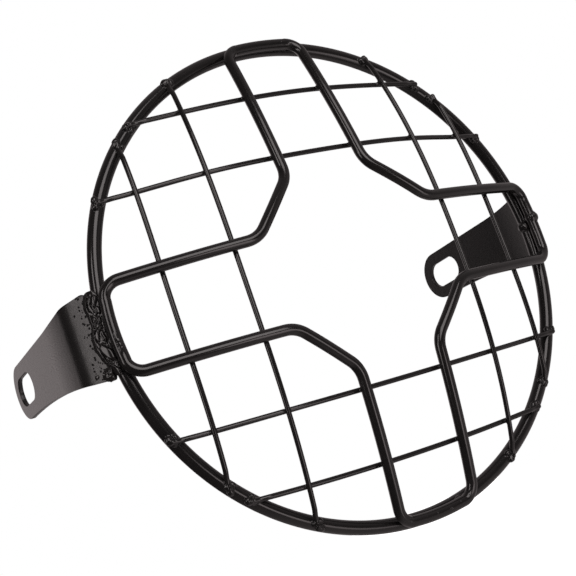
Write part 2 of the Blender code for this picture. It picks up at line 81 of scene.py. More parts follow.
TAB_MIDDLE = 0.0030
TAB_WIDTH = 0.0228
SLOT_SETBACK = 0.0782
SLOT_LENGTH = 0.0226
SLOT_WIDTH = 0.0117
TOP_FLARE_LENGTH = 0.038
MM = 0.001
SHEARED_EDGE = 0.35 * MM  # rounding of the sheets' edges
END_TRIM = 0.6 * MM      # wire ends are cut back by up to twice this, most on the right
END_SINK = 0.7 * MM      # and pressed this far into the ring by the welder


# Small tools for points and meshes

def unit(vectors):
    """Vectors divided by their own lengths."""
    return vectors / np.linalg.norm(vectors, axis=-1, keepdims=True)


def random_height(cells, seed):
    """A height from -1 to 1 for each whole-numbered cell, mixed from its three numbers."""
    key = cells[..., 0] * 73856093 ^ cells[..., 1] * 19349663 ^ cells[..., 2] * 83492791 ^ seed * 26699
    key = (key ^ key >> 13) * 1274126177 & 0xFFFFFFFF
    key = (key ^ key >> 15) * 461845907 & 0xFFFFFFFF
    return (key >> 8 & 0xFFFF) / 32767.5 - 1.0


def lumps(points, size, seed):
    """Smooth random heights from -1 to 1 that change over about `size` metres.

    Every corner of a grid of cubes has its own height, and the heights of a point's eight
    corners are mixed by how near it is to each, along a smooth step.
    """
    cells = points / size
    base = np.floor(cells).astype(np.int64)
    part = cells - base
    part = part * part * (3.0 - 2.0 * part)
    total = 0.0
    for corner in ((0, 0, 0), (1, 0, 0), (0, 1, 0), (1, 1, 0), (0, 0, 1), (1, 0, 1), (0, 1, 1), (1, 1, 1)):
        step = np.array(corner)
        weight = np.prod(np.where(step == 1, part, 1.0 - part), axis=-1)
        total = total + weight * random_height(base + step, seed)
    return total


def make_piece(name, points, faces, material):
    """Mesh piece with smooth outward faces, riding on the guard's only body."""
    mesh = bpy.data.meshes.new(name)
    mesh.from_pydata(points, [], faces)
    mesh.polygons.foreach_set("use_smooth", np.ones(len(mesh.polygons), dtype=bool))
    mesh.materials.append(material)
    mesh.validate()
    mesh.update()
    obj = bpy.data.objects.new(name, mesh)
    bpy.context.scene.collection.objects.link(obj)
    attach(obj, "root")
    return obj


def grid_piece(name, grid, material, ring=False, ends=None):
    """Piece from a grid of points whose columns close round.

    Its rows close round too if `ring` is true; otherwise a fan round each of the two end
    points closes the first and the last row.  The faces are turned outwards by the sign of
    the volume that they enclose.
    """
    rows, columns = grid.shape[:2]
    numbers = np.arange(rows * columns).reshape(rows, columns)
    after = np.roll(numbers, -1, axis=1)
    upper = np.roll(numbers, -1, axis=0)
    upper_after = np.roll(after, -1, axis=0)
    quads = np.stack((numbers, after, upper_after, upper), axis=-1)
    if not ring:
        quads = quads[:-1]
    faces = quads.reshape(-1, 4).tolist()
    points = grid.reshape(-1, 3)
    if ends is not None:
        first, last = len(points), len(points) + 1
        points = np.vstack((points, ends))
        faces += np.column_stack((after[0], numbers[0], np.full(columns, first))).tolist()
        faces += np.column_stack((numbers[-1], after[-1], np.full(columns, last))).tolist()
    low, side, far, near = (points[quads[..., corner].ravel()] for corner in range(4))
    volume = np.sum(low * np.cross(side, far)) + np.sum(low * np.cross(far, near))
    if volume < 0.0:
        faces = [face[::-1] for face in faces]
    return make_piece(name, points, faces, material)


def walked_length(points):
    """Distance walked along a line of straight pieces, at each of its points."""
    return np.concatenate(((0.0,), np.cumsum(np.linalg.norm(np.diff(points, axis=0), axis=1))))


def carry_round(path, radii, sides, closed):
    """Grid of a round section carried along a path.

    The section's first axis is the front direction made square to the path, the second is
    square to both; a point is the path plus radius times cosine and sine along them.
    """
    if closed:
        along = np.roll(path, -1, axis=0) - np.roll(path, 1, axis=0)
    else:
        along = np.gradient(path, axis=0)
    along = unit(along)
    front = np.array((0.0, -1.0, 0.0))
    first = unit(front - along * (along @ front)[:, None])
    second = np.cross(along, first)
    turn = np.linspace(0.0, 2.0 * math.pi, sides, endpoint=False)
    radii = np.broadcast_to(radii, len(path))[:, None, None]
    wheel = np.cos(turn)[None, :, None] * first[:, None] + np.sin(turn)[None, :, None] * second[:, None]
    return path[:, None] + radii * wheel


def even_path(points, step, closed):
    """Points at even distances along a finely drawn line."""
    if closed:
        points = np.vstack((points, points[:1]))
    walked = walked_length(points)
    count = int(round(walked[-1] / step))
    stops = np.linspace(0.0, walked[-1], count + 1)
    if closed:
        stops = stops[:-1]
    return np.column_stack([np.interp(stops, walked, points[:, axis]) for axis in range(3)])


# Coats of paint

def linear(code):
    """Linear colour of an sRGB hex code."""
    values = np.array([int(code[place:place + 2], 16) for place in (1, 3, 5)]) / 255.0
    values = np.where(values <= 0.04045, values / 12.92, ((values + 0.055) / 1.055) ** 2.4)
    return (*values.tolist(), 1.0)


def add(material, kind, settings=None, links=None):
    """Add a node, set its properties or input values, and link its inputs from other sockets."""
    tree = material.node_tree
    node = tree.nodes.new("ShaderNode" + kind)
    for key, value in (settings or {}).items():
        if isinstance(key, str) and hasattr(node, key):
            setattr(node, key, value)
        else:
            node.inputs[key].default_value = value
    for key, socket in (links or {}).items():
        tree.links.new(socket, node.inputs[key])
    return node


def gas_holes(material, place, spacing, radius, share, deepest):
    """Mask of small round holes that gas from the weld blew in the coat, nearest the ring's plane.

    Each cell of a scattered grid may hold one hole round its middle; a random number drawn
    for the cell decides, and has to be higher the further back the cell lies.
    """
    cells = add(material, "TexVoronoi", {"Scale": 1.0 / spacing}, {"Vector": place})
    hole = add(material, "MapRange", {"From Min": radius / spacing, "From Max": 0.7 * radius / spacing},
               {"Value": cells.outputs["Distance"]})
    draw = add(material, "SeparateColor", {}, {"Color": cells.outputs["Color"]})
    depth = add(material, "SeparateXYZ", {}, {"Vector": place})
    odds = add(material, "MapRange", {"From Min": 0.4 * deepest, "From Max": deepest,
                                      "To Min": share, "To Max": 0.0}, {"Value": depth.outputs["Y"]})
    chosen = add(material, "Math", {"operation": "LESS_THAN"},
                 {0: draw.outputs["Red"], 1: odds.outputs["Result"]})
    mask = add(material, "Math", {"operation": "MULTIPLY"},
               {0: hole.outputs["Result"], 1: chosen.outputs[0]})
    return mask.outputs[0]


CLOUD = 14.0 * MM        # patches of slightly thicker and thinner coat
HOLE_DEPTH = 0.15 * MM


def powder_coat(name, roughness, wave, wave_depth, grit, grit_depth, holes=None):
    """Gloss black polyester powder coat, baked on.

    The eye sees a near-black body, clear soft-edged reflections that wobble with the
    orange peel (the wave), and tiny specks where powder grains did not flow out (the grit,
    drawn coarser than powder grains of about 0.05 mm so that it shows).  Where `holes` are
    asked for, small holes with dull insides pit it, their colour darkened towards black as
    painted shade.
    """
    material = bpy.data.materials.new(name)
    material.use_nodes = True
    tree = material.node_tree
    tree.nodes.clear()
    place = add(material, "TexCoord").outputs["Object"]
    peel = add(material, "TexNoise", {"Scale": 1.0 / wave, "Detail": 2.0, "Roughness": 0.45},
               {"Vector": place})
    specks = add(material, "TexNoise", {"Scale": 1.0 / grit, "Detail": 3.0, "Roughness": 0.6},
                 {"Vector": place})
    cloud = add(material, "TexNoise", {"Scale": 1.0 / CLOUD, "Detail": 3.0}, {"Vector": place})
    tint = add(material, "ValToRGB", {}, {"Fac": cloud.outputs["Fac"]})
    tint.color_ramp.elements[0].position = 0.30
    tint.color_ramp.elements[0].color = linear("#121111")
    tint.color_ramp.elements[1].position = 0.72
    tint.color_ramp.elements[1].color = linear("#191717")
    gloss = add(material, "MapRange", {"From Min": 0.3, "From Max": 0.7,
                                       "To Min": roughness * 0.86, "To Max": roughness * 1.18},
                {"Value": specks.outputs["Fac"]})
    low = add(material, "Bump", {"Strength": 1.0, "Distance": wave_depth}, {"Height": peel.outputs["Fac"]})
    fine = add(material, "Bump", {"Strength": 1.0, "Distance": grit_depth},
               {"Height": specks.outputs["Fac"], "Normal": low.outputs["Normal"]})
    colour, dullness, normal = tint.outputs["Color"], gloss.outputs["Result"], fine.outputs["Normal"]
    if holes:
        mask = gas_holes(material, place, *holes)
        # painted shade: the holes' insides are darkened in colour towards black
        colour = add(material, "Mix", {"data_type": "RGBA", "B": linear("#050505")},
                     {"Factor": mask, "A": colour}).outputs["Result"]
        dullness = add(material, "Math", {"operation": "MAXIMUM"}, {0: dullness, 1: mask}).outputs[0]
        normal = add(material, "Bump", {"Strength": 1.0, "Distance": HOLE_DEPTH, "invert": True},
                     {"Height": mask, "Normal": normal}).outputs["Normal"]
    shader = add(material, "BsdfPrincipled", {"Metallic": 0.0, "IOR": 1.5},
                 {"Base Color": colour, "Roughness": dullness, "Normal": normal})
    add(material, "OutputMaterial", {}, {"Surface": shader.outputs["BSDF"]})
    return material


# On bent bar: long bright streaks along the bar that waver a little
bar_coat = powder_coat("powder_coat_on_bent_round_bar", 0.14, 3.0 * MM, 0.014 * MM, 0.35 * MM, 0.0006 * MM)
# On drawn wire: a fine and almost straight streak
wire_coat = powder_coat("powder_coat_on_drawn_wire", 0.14, 2.0 * MM, 0.006 * MM, 0.30 * MM, 0.0005 * MM)
# On rolled sheet: a broad grey sheen with a fine grain, and gas holes beside the weld, their insides darkened
# as painted shade
sheet_coat = powder_coat("powder_coat_on_rolled_sheet", 0.26, 2.2 * MM, 0.03 * MM, 0.40 * MM, 0.002 * MM,
                         (1.2 * MM, 0.48 * MM, 0.8, 6.0 * MM))
# Over weld metal: small sharp glints that break up over the lumps
weld_coat = powder_coat("powder_coat_over_weld_metal", 0.15, 1.4 * MM, 0.02 * MM, 0.30 * MM, 0.0015 * MM)


# Centre lines of the bars

def circle_path(step):
    """Circle of the ring in the XZ plane, starting on the right and rising."""
    angle = np.linspace(0.0, 2.0 * math.pi, int(2.0 * math.pi * RING_RADIUS / step), endpoint=False)
    return RING_RADIUS * np.column_stack((np.cos(angle), np.zeros_like(angle), np.sin(angle)))


def rounded_corner(corner, before, after, radius):
    """Arc that rounds a corner between two straight runs, as points in the plane."""
    to_before = unit(before - corner)
    to_after = unit(after - corner)
    half = math.acos(float(to_before @ to_after)) / 2.0
    centre = corner + unit(to_before + to_after) * radius / math.sin(half)
    arm = corner + to_before * radius / math.tan(half) - centre
    side = math.copysign(1.0, to_before[0] * to_after[1] - to_before[1] * to_after[0])
    angles = side * np.linspace(0.0, math.pi - 2.0 * half, 40)
    return centre + np.column_stack((arm[0] * np.cos(angles) + arm[1] * np.sin(angles),
                                     arm[1] * np.cos(angles) - arm[0] * np.sin(angles)))


def loop_rise(x, z):
    """How far the loop stands forward of its seat: it falls with the square of the distance out."""
    along = (x ** 4 + z ** 4) ** 0.25
    level_share = x ** 2 / (x ** 2 + z ** 2)
    rise = UPRIGHT_ARM_RISE + (LEVEL_ARM_RISE - UPRIGHT_ARM_RISE) * level_share
    return rise * np.maximum(0.0, 1.0 - (along / RING_RADIUS) ** 2)


def cross_quarter(offsets):
    """Flat outline of one quarter of the cross: four arcs joined by straights."""
    top_width, upper_width, lower_width, right_width = ARM_HALF_WIDTH + np.array(offsets)
    corner = ARM_HALF_WIDTH + CROSS_REACH * RING_RADIUS
    top = np.array((top_width, math.sqrt(RING_RADIUS ** 2 - top_width ** 2)))
    upper = np.array((upper_width, corner - upper_width))
    lower = np.array((corner - lower_width, lower_width))
    right = np.array((math.sqrt(RING_RADIUS ** 2 - right_width ** 2), right_width))
    bar_in = top + np.array((-1.0, top_width / RING_RADIUS)) * top_width
    bar_out = right + np.array((right_width / RING_RADIUS, -1.0)) * right_width
    arcs = [rounded_corner(top, bar_in, upper, ARM_END_BEND),
            rounded_corner(upper, top, lower, CROSS_BEND),
            rounded_corner(lower, upper, right, CROSS_BEND),
            rounded_corner(right, lower, bar_out, ARM_END_BEND)]
    share = np.linspace(0.0, 1.0, 60)[1:-1, None]
    ways = []
    for first, second in zip(arcs, arcs[1:]):
        ways += [first, first[-1] + (second[0] - first[-1]) * share]
    return np.vstack((*ways, arcs[-1]))


def loop_path(step):
    """Centre line of the cross loop: four quarters joined along the ring, lifted by the rise."""
    spin = np.array(((0.0, -1.0), (1.0, 0.0)))
    quarters = [cross_quarter(offsets) @ np.linalg.matrix_power(spin, turn)
                for turn, offsets in enumerate(LOOP_OFFSETS)]
    ways = []
    for quarter, following in zip(quarters, quarters[1:] + quarters[:1]):
        begin, end = np.unwrap([math.atan2(spot[1], spot[0]) for spot in (quarter[-1], following[0])])
        angles = np.linspace(begin, end, 40)[1:-1]
        ways += [quarter, RING_RADIUS * np.column_stack((np.cos(angles), np.sin(angles)))]
    flat = np.vstack(ways)
    x, z = flat.T
    forwards = (RING_BAR + LOOP_BAR) / 2 + GAP + loop_rise(x, z)
    return even_path(np.column_stack((x, -forwards, z - LOOP_DROP)), step, True)


def half_span(place):
    """Half length of a wire between its seats on the ring."""
    return math.sqrt(RING_RADIUS ** 2 - place[1] ** 2)


WIRE_SEAT = (RING_BAR + WIRE) / 2 + GAP


def loop_contact(x, z):
    """Depth of a wire's centre line where it passes just behind the cross loop."""
    return (RING_BAR - WIRE) / 2 + float(loop_rise(x, z + LOOP_DROP))


def upright_depth(place, fullness):
    """Depth of an upright wire along its length: a power curve through its contacts."""
    span = half_span(place)
    crown = (loop_contact(place[0], ARM_HALF_WIDTH) - WIRE_SEAT) / (1.0 - (ARM_HALF_WIDTH / span) ** fullness)
    return lambda along: WIRE_SEAT + crown * (1.0 - np.minimum(1.0, np.abs(along) / span) ** fullness)


def level_depth(place, uprights):
    """Depth of a level wire along its length: an even polynomial through its contacts."""
    span = half_span(place)
    stations = [span, ARM_HALF_WIDTH]
    depths = [WIRE_SEAT, loop_contact(ARM_HALF_WIDTH, place[0])]
    for upright, depth in uprights:
        if half_span(upright) > place[0] and upright[0] < span - 2.0 * WIRE:
            stations.append(upright[0])
            depths.append(float(depth(place[0])) - WIRE - GAP)
    stations = np.array(stations) / RING_RADIUS
    powers = 2 * np.arange(len(stations))
    terms = np.linalg.solve(stations[:, None] ** powers, np.array(depths))
    return lambda along: ((np.minimum(span, np.abs(along)) / RING_RADIUS)[..., None] ** powers) @ terms


def wire_path(place, side, turn, upright, depth):
    """Centre line of a lattice wire, bowed sideways by a parabola and turned in the ring.

    Its ends dip into the ring by a smooth step over the last few millimetres.
    """
    span = half_span(place)
    reach = span + WIRE_OVERHANG
    angle = math.radians(turn)

    def spots(along):
        across = side * (place[0] - (place[0] - place[1]) * (along / span) ** 2)
        x, z = (across, along) if upright else (along, across)
        dip = np.clip((np.abs(along) - span + 5.0 * MM) / (4.0 * MM), 0.0, 1.0)
        dip = END_SINK * dip * dip * (3.0 - 2.0 * dip)
        return np.column_stack((x * math.cos(angle) - z * math.sin(angle), dip - depth(along),
                                x * math.sin(angle) + z * math.cos(angle)))

    trim = END_TRIM * (1.0 + spots(np.array((-reach, reach)))[:, 0] / RING_RADIUS)
    return spots(np.linspace(trim[0] - reach, reach - trim[1], 181))


def lattice_paths():
    """Centre line of every lattice wire by name."""
    inner_depth = upright_depth(INNER_UPRIGHT, INNER_UPRIGHT_FULLNESS)
    outer_depth = upright_depth(OUTER_UPRIGHT, OUTER_UPRIGHT_FULLNESS)
    uprights = [(INNER_UPRIGHT, inner_depth), (OUTER_UPRIGHT, outer_depth)]
    inner_level = level_depth(INNER_LEVEL, uprights)
    outer_level = level_depth(OUTER_LEVEL, uprights)
    turn = LATTICE_TURN
    return {
        "upright_wire_left_outer": wire_path(OUTER_UPRIGHT, -1, turn, True, outer_depth),
        "upright_wire_left_inner": wire_path(INNER_UPRIGHT, -1, turn, True, inner_depth),
        "upright_wire_right_inner": wire_path(INNER_UPRIGHT, 1, turn, True, inner_depth),
        "upright_wire_right_outer": wire_path(OUTER_UPRIGHT, 1, RIGHT_OUTER_TURN, True, outer_depth),
        "level_wire_top_outer": wire_path(OUTER_LEVEL, 1, turn, False, outer_level),
        "level_wire_top_inner": wire_path(INNER_LEVEL, 1, turn, False, inner_level),
        "level_wire_bottom_inner": wire_path(INNER_LEVEL, -1, turn, False, inner_level),
        "level_wire_bottom_outer": wire_path(OUTER_LEVEL, -1, turn, False, outer_level)}


ring_line = circle_path(1.2 * MM)
loop_line = loop_path(1.0 * MM)
wire_lines = lattice_paths()

for name, path, bar, sides, node in (("ring_bar", ring_line, RING_BAR, 40, "outer_ring"),
                                     ("cross_bar", loop_line, LOOP_BAR, 36, "cross_loop")):
    grid = carry_round(path, bar / 2, sides, True)
    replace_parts(grid_piece(name, grid, bar_coat, ring=True), node)
for name, path in wire_lines.items():
    radii = np.full(len(path), WIRE / 2)
    radii[[0, -1]] *= 0.8
    wire_piece = grid_piece(name + "_bar", carry_round(path, radii, 22, False), wire_coat,
                            ends=path[[0, -1]])
    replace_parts(wire_piece, name)


# Side brackets

def tab_end():
    """Distance of the tab's rounded end behind the ring's plane."""
    return SLOT_SETBACK + (SLOT_LENGTH - SLOT_WIDTH) / 2 + TAB_WIDTH / 2


def plate_plan():
    """Plate's centre line seen from above, right-hand side: place, direction and walked length.

    The direction's angle falls from the flange's to the ease angle round the fold and then
    to the toe-in along the ease; the place is the sum of the short steps.
    """
    lean = math.radians(FLANGE_ANGLE)
    inner_y = FLANGE_SETBACK + PLATE / 2 * math.sin(lean)
    inner_x = math.sqrt((RING_BAR / 2 + GAP) ** 2 - inner_y ** 2)
    start = (RING_RADIUS + inner_x + GAP / 2 + PLATE / 2 * math.cos(lean), FLANGE_SETBACK)
    fold = FOLD_RADIUS * math.radians(FLANGE_ANGLE - EASE_ANGLE)
    walked = np.linspace(0.0, 0.105, 4201)
    angle = np.interp(walked, (FLANGE_LENGTH, FLANGE_LENGTH + fold, FLANGE_LENGTH + fold + EASE_LENGTH),
                      np.radians((FLANGE_ANGLE, EASE_ANGLE, -TOE_IN)))
    step = walked[1]
    x = start[0] + np.concatenate(((0.0,), np.cumsum(np.sin(angle[:-1]) * step)))
    y = start[1] + np.concatenate(((0.0,), np.cumsum(np.cos(angle[:-1]) * step)))
    return x, y, angle


def blank_edge(count):
    """Outline of the bracket's blank in the side view (Y, Z), at even distances, from the tab's end."""
    low = TAB_MIDDLE - TAB_WIDTH / 2
    high = TAB_MIDDLE + TAB_WIDTH / 2
    centre = tab_end() - TAB_WIDTH / 2
    turn = np.radians(np.linspace(-90.0, 90.0, 90))
    round_end = np.column_stack((centre + TAB_WIDTH / 2 * np.cos(turn),
                                 TAB_MIDDLE + TAB_WIDTH / 2 * np.sin(turn)))
    front = FLANGE_SETBACK
    upper_y = np.linspace(centre, front + FLANGE_TOP_CORNER, 120)[1:]
    share = np.maximum(0.0, 1.0 - upper_y / TOP_FLARE_LENGTH)
    upper_z = high + (FLANGE_TOP - high) * share ** 2
    lower_y = np.linspace(front + FLANGE_BOTTOM_CORNER, centre, 120)[:-1]
    lower_z = low + (FLANGE_BOTTOM - low) * ((centre - lower_y) / centre) ** 2.2
    bend = np.radians(np.linspace(0.0, 90.0, 16))[1:]
    top_corner = np.column_stack((upper_y[-1] - FLANGE_TOP_CORNER * np.sin(bend),
                                  upper_z[-1] - FLANGE_TOP_CORNER * (1.0 - np.cos(bend))))
    bend = bend[::-1]
    bottom_corner = np.column_stack((lower_y[0] - FLANGE_BOTTOM_CORNER * np.sin(bend),
                                     lower_z[0] + FLANGE_BOTTOM_CORNER * (1.0 - np.cos(bend))))
    rough = np.vstack((round_end, np.column_stack((upper_y, upper_z)), top_corner, bottom_corner,
                       np.column_stack((lower_y, lower_z))))
    closed = np.vstack((rough, rough[:1]))
    walked = walked_length(closed)
    stops = np.linspace(0.0, walked[-1], count, endpoint=False)
    return np.column_stack([np.interp(stops, walked, closed[:, axis]) for axis in range(2)])


def slot_edge(outline):
    """Point of the obround slot that belongs to each point of the blank's outline.

    The far part of the slot belongs to the tab's rounded end, and the near part to all the
    rest, by the angle at which the outline's point is seen from the slot.
    """
    radius = SLOT_WIDTH / 2
    half = (SLOT_LENGTH - SLOT_WIDTH) / 2
    seen = np.arctan2(outline[:, 1] - TAB_MIDDLE, outline[:, 0] - SLOT_SETBACK)
    turn = np.linspace(-math.pi, math.pi, 721)
    core = np.clip(np.cos(turn) * 1e3, -half, half)
    ring = np.column_stack((core + radius * np.cos(turn), radius * np.sin(turn)))
    fine = np.vstack((ring, ring[:1]))
    walked = walked_length(fine)
    angles = np.unwrap(np.arctan2(fine[:, 1], fine[:, 0]))
    order = np.argsort(angles)
    at = np.interp(seen, angles[order], walked[order])
    spread = np.column_stack([np.interp(at, walked, fine[:, axis]) for axis in range(2)])
    return spread + np.array((SLOT_SETBACK, TAB_MIDDLE))


def bracket_grid(side):
    """Grid of a bracket's skin: round its outline, and across both faces and both edges.

    Across, a point goes from the slot's edge to the outer edge on the outer face, round the
    edge, and back on the inner face.  The side view's distance then follows the folded
    centre line, and the thickness is laid off square to it.
    """
    outline = blank_edge(520)
    slot = slot_edge(outline)
    reach = np.linspace(0.0, 1.0, 46) ** 1.3
    edge = SHEARED_EDGE
    inwards = unit(slot - outline)
    width = np.linalg.norm(slot - outline, axis=1)[:, None]
    quarter = np.radians(np.linspace(0.0, 90.0, 6))[1:]
    walk = edge + (width - 2.0 * edge) * reach[None, :]
    outer_round = edge * (1.0 - np.sin(quarter))
    height_round = PLATE / 2 - edge + edge * np.cos(quarter)
    spans = [walk, width - outer_round[None, :], width - outer_round[None, ::-1],
             walk[:, ::-1], np.broadcast_to(outer_round[None, :], (len(width), 5)),
             np.broadcast_to(outer_round[None, ::-1], (len(width), 5))]
    heights = [np.full(46, PLATE / 2), height_round, -height_round[::-1], np.full(46, -PLATE / 2),
               -height_round, height_round[::-1]]
    span = np.hstack(spans)
    height = np.concatenate(heights)
    place = slot[:, None] - inwards[:, None] * span[..., None]
    plan_x, plan_y, plan_angle = plate_plan()
    y = place[..., 0]
    centre_x = np.interp(y, plan_y, plan_x)
    angle = np.interp(y, plan_y, plan_angle)
    x = centre_x + height * np.cos(angle)
    depth = y - height * np.sin(angle)
    return np.stack((side * x, depth, place[..., 1]), axis=-1)


for side_name, side in (("left", -1), ("right", 1)):
    plate = grid_piece(side_name + "_bracket_plate", bracket_grid(side), sheet_coat, ring=True)
    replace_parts(plate, side_name + "_bracket")


# Welds

def bar_distance(points, path, radius):
    """Distance of points from the skin of a round bar that follows a path of straight pieces.

    For every piece the point's shadow on it is kept between its ends; the nearest piece counts.
    """
    starts = path[:-1]
    runs = np.diff(path, axis=0)
    from_start = points[..., None, :] - starts
    share = np.clip(np.sum(from_start * runs, axis=-1) / np.sum(runs ** 2, axis=-1), 0.0, 1.0)
    away = np.linalg.norm(from_start - share[..., None] * runs, axis=-1)
    return np.min(away, axis=-1) - radius


def ring_distance(points):
    """Distance of points from the skin of the ring's bar."""
    out = np.hypot(points[..., 0], points[..., 2]) - RING_RADIUS
    return np.hypot(out, points[..., 1]) - RING_BAR / 2


def blob_distance(points, middle, axes, sizes):
    """Rough distance of points from an ellipsoid: how many of its own radii away, times its least one."""
    own = (points - middle) @ axes.T / sizes
    return (np.linalg.norm(own, axis=-1) - 1.0) * min(sizes)


def melt(first, second, reach):
    """The lesser of two distances, rounded off where they differ by less than `reach`."""
    near = np.maximum(reach - np.abs(first - second), 0.0) / reach
    return np.minimum(first, second) - near ** 2 * reach / 4.0


def puddle(name, heart, field, reach, rows, replaced=()):
    """Closed weld skin round a point inside it, made as a piece that may replace CAD nodes.

    Rays leave the heart in all directions, given by two angles.  Each is followed until the
    field turns from inside to outside, and the crossing is placed by straight-line share
    between the two samples; a ray that stays inside ends at the reach, deep in the bar.
    """
    polar = (np.arange(rows) + 0.5) * math.pi / rows
    turn = np.linspace(0.0, 2.0 * math.pi, 2 * rows, endpoint=False)
    ways = np.stack((np.sin(polar)[:, None] * np.cos(turn), np.sin(polar)[:, None] * np.sin(turn),
                     np.cos(polar)[:, None] * np.ones_like(turn)), axis=-1)
    ways = np.concatenate((ways.reshape(-1, 3), ((0.0, 0.0, 1.0), (0.0, 0.0, -1.0))))
    stops = np.linspace(0.0, reach, 40)
    values = field(heart + ways[:, None] * stops[:, None])
    values[:, -1] = 1.0
    hit = np.argmax(values > 0.0, axis=1)
    hit = np.maximum(hit, 1)
    before = values[np.arange(len(ways)), hit - 1]
    after = values[np.arange(len(ways)), hit]
    share = np.clip(-before / (after - before), 0.0, 1.0)
    share = np.where(hit == len(stops) - 1, 1.0, share)
    skin = heart + ways * ((hit - 1 + share) * stops[1])[:, None]
    grid = skin[:-2].reshape(rows, 2 * rows, 3)
    piece = grid_piece(name, grid, weld_coat, ends=skin[-2:])
    if replaced:
        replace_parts(piece, *replaced)


def ring_axes(angle):
    """Directions at a place on the ring: along the bar, outwards and forwards."""
    return np.array(((math.sin(angle), 0.0, -math.cos(angle)), (math.cos(angle), 0.0, math.sin(angle)),
                     (0.0, -1.0, 0.0)))


def rough(points, coarse, fine, seed):
    """Skin of cold weld metal: coarse swells, finer ones, and creases where a third set crosses zero."""
    swell = coarse * lumps(points, 1.5 * MM, seed) + fine * lumps(points, 0.6 * MM, seed + 1)
    crease = np.maximum(0.0, 1.0 - 5.0 * np.abs(lumps(points, 2.4 * MM, seed + 2)))
    return swell - 1.2 * coarse * crease ** 2


def wire_weld(name, path, tip, index, node):
    """Three smooth pads of weld that tie a wire's end to the ring, different at each end.

    Each pad is an ellipsoid: its place from the wire's tip and its half sizes, both in
    millimetres along the ring, outwards and forwards.
    """
    end = path[tip]
    near = path[:9] if tip == 0 else path[-9:]
    axes = ring_axes(math.atan2(end[2], end[0]))
    draw = [float(random_height(np.array((index, place, 7)), 3)) for place in range(12)]
    lean = math.copysign(0.9, draw[0]) + 0.3 * draw[1]
    low = 0.4 + 0.4 * end[0] / RING_RADIUS
    pads = (((lean, 0.45 - low + 0.3 * draw[2], -0.75), (1.9 + 0.3 * draw[3], 1.55, 1.35)),
            ((-lean, -0.8 - low + 0.4 * draw[4], -0.9), (1.6, 1.5 + 0.2 * draw[5], 1.45)),
            ((0.5 * lean, -2.3 + 0.3 * draw[6], -0.9), (1.5 + 0.3 * draw[7], 1.2, 1.25)))
    heart = end + axes.T @ (np.array((0.0, -0.9, -1.1)) * MM)

    def field(points):
        bars = melt(ring_distance(points), bar_distance(points, near, WIRE / 2), 0.5 * MM)
        blob = 1.0
        for place, sizes in pads:
            pad = blob_distance(points, end + axes.T @ (np.array(place) * MM), axes, np.array(sizes) * MM)
            blob = melt(blob, pad, 0.25 * MM)
        worn = np.exp(-np.maximum(blob, 0.0) / (0.4 * MM))
        return melt(bars, blob, 0.3 * MM) + 0.03 * MM - worn * rough(points, 0.09 * MM, 0.02 * MM, 11 * index)

    puddle(name, heart, field, 5.2 * MM, 56, [node])


for index, (name, path) in enumerate(wire_lines.items()):
    ends = ("bottom", "top") if name.startswith("upright") else ("left", "right")
    for tip, end_name in ((0, ends[0]), (-1, ends[1])):
        wire_weld("%s_%s_weld" % (name, end_name), path, tip, 2 * index - tip,
                  "weld_%s_%s" % (name, end_name))


TIED_BEYOND = 88.0 * MM    # crossings at the top right that lie further out got more weld
KNOB_PLACE = np.array((1.2, 0.0, 1.2)) * MM
KNOB_RADIUS = 1.1 * MM


def crossing_welds(first_name, first, first_bar, second_name, second, second_bar):
    """Squeezed metal at every place where two lines touch, smoothed between their two skins.

    Near the ring at the top right, where the wires were tied with more weld, a knob of it
    fills the upper right corner.
    """
    apart = np.linalg.norm(first[:, None] - second[None], axis=-1)
    nearest = apart.min(axis=1)
    touching = nearest < (first_bar + second_bar) / 2 + 2.0 * GAP
    lowest = touching & (nearest <= np.roll(nearest, 1)) & (nearest < np.roll(nearest, -1))
    for number, row in enumerate(np.flatnonzero(lowest)):
        spot = first[row]
        other = second[np.argmin(apart[row])]
        heart = spot + (other - spot) * (first_bar + GAP) / (first_bar + second_bar + 2.0 * GAP)
        ways = [line[np.linalg.norm(line - heart, axis=1) < 6.0 * MM] for line in (first, second)]
        tied = min(heart[0], heart[2]) > 0.0 and math.hypot(heart[0], heart[2]) > TIED_BEYOND
        knob = heart + KNOB_PLACE

        def field(points):
            skin = melt(bar_distance(points, ways[0], first_bar / 2),
                        bar_distance(points, ways[1], second_bar / 2), 1.5 * MM) + 0.02 * MM
            if not tied:
                return skin
            return melt(skin, np.linalg.norm(points - knob, axis=-1) - KNOB_RADIUS, 0.6 * MM)

        puddle("%s_on_%s_%d" % (second_name, first_name, number), heart, field,
               (3.0 if tied else 1.75) * MM, 30 if tied else 22)


def nearest_part(path, spot, reach):
    """The stretch of a closed line that lies within a distance of a spot, in order."""
    away = np.linalg.norm(path - spot, axis=1)
    turned = np.roll(np.arange(len(path)), -int(np.argmin(away)) + len(path) // 2)
    kept = turned[away[turned] < reach]
    return path[kept]


def tack(name, angle, node, seed):
    """Small weld in the groove between the ring and the loop."""
    axes = ring_axes(angle)
    middle = axes[1] * (RING_RADIUS - 0.8 * MM) + axes[2] * 3.4 * MM
    loop_near = nearest_part(loop_line, middle, 12.0 * MM)[::2]
    sizes = np.array((2.3, 1.4, 1.5)) * MM

    def field(points):
        bars = melt(ring_distance(points), bar_distance(points, loop_near, LOOP_BAR / 2), 0.9 * MM)
        blob = blob_distance(points, middle, axes, sizes)
        worn = np.exp(-np.maximum(blob, 0.0) / (0.5 * MM))
        return melt(bars, blob, 0.6 * MM) + 0.03 * MM - worn * rough(points, 0.12 * MM, 0.04 * MM, seed)

    puddle(name, middle, field, 5.0 * MM, 40, [node])


for arm, middle in (("top", math.pi / 2), ("bottom", -math.pi / 2)):
    for side_name, side in (("left", -1), ("right", 1)):
        angle = middle - side * 0.125 * math.sin(middle)
        tack("loop_%s_%s_tack" % (arm, side_name), angle, "weld_loop_%s_%s" % (arm, side_name),
             301 + 7 * side + int(3 * middle))


